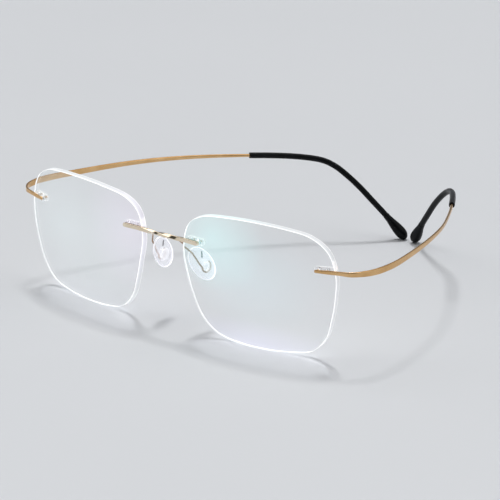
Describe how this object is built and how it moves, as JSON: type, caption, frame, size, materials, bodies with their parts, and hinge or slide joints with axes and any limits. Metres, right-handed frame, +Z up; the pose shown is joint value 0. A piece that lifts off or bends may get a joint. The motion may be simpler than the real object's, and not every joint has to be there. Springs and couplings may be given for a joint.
{
  "type": "rimless eyeglasses",
  "caption": "Rimless eyeglasses with clear lenses, a slim gold bridge, clear nose pads, hingeless spring temples and black ear sleeves.",
  "frame": {"origin": "On the table, on the plane of symmetry, half way between the front of the bridge and the back of the sleeve ends.", "axes": "+Z up, -Y the way the lenses face, +X to the wearer's left; the glasses stand open on the lower lens edges and the sleeve ends."},
  "size_m": [0.1452, 0.129, 0.0421],
  "materials": {
    "lens": "polished clear lens with an anti-reflection coat",
    "gold_metal": "satin gold-tone spring metal",
    "clear_plastic": "clear moulded plastic",
    "pad_steel": "dull stainless steel",
    "pad_silicone": "clear soft silicone",
    "black_silicone": "satin black silicone"
  },
  "bodies": {
    "front": {"lens_right": "lens", "lens_left": "lens", "bridge": "gold_metal", "nasal_bushing_right": "clear_plastic", "nasal_bushing_left": "clear_plastic", "temple_bushing_right": "clear_plastic", "temple_bushing_left": "clear_plastic", "pad_arm_right": "gold_metal", "pad_arm_left": "gold_metal", "temple_clip_right": "gold_metal", "temple_clip_left": "gold_metal", "spring_strip_right": "gold_metal", "spring_strip_left": "gold_metal"},
    "pad_right": {"nose_pad_right": "pad_silicone", "pad_core_right": "clear_plastic", "pad_tongue_right": "pad_steel"},
    "pad_left": {"nose_pad_left": "pad_silicone", "pad_core_left": "clear_plastic", "pad_tongue_left": "pad_steel"},
    "temple_right": {"temple_wire_right": "gold_metal", "ear_sleeve_right": "black_silicone", "sleeve_end_right": "black_silicone"},
    "temple_left": {"temple_wire_left": "gold_metal", "ear_sleeve_left": "black_silicone", "sleeve_end_left": "black_silicone"}
  },
  "joints": [
    {"name": "temple_bow_right", "type": "hinge", "parent": "front", "child": "temple_right", "pos_m": [-0.0712, -0.0492, 0.0299], "axis": [0, 0, 1], "range_deg": [0, 30], "stiffness_Nm_per_rad": 0.06, "deforming": ["spring_strip_right"]},
    {"name": "temple_bow_left", "type": "hinge", "parent": "front", "child": "temple_left", "pos_m": [0.0712, -0.0492, 0.0299], "axis": [0, 0, -1], "range_deg": [0, 30], "stiffness_Nm_per_rad": 0.06, "deforming": ["spring_strip_left"]},
    {"name": "pad_rock_right", "type": "hinge", "parent": "front", "child": "pad_right", "pos_m": [-0.00975, -0.0522, 0.02018], "axis": [0.1041, 0.0091, 0.9945], "range_deg": [-3, 8]},
    {"name": "pad_rock_left", "type": "hinge", "parent": "front", "child": "pad_left", "pos_m": [0.00975, -0.0522, 0.02018], "axis": [0.1041, -0.0091, -0.9945], "range_deg": [-3, 8]}
  ]
}
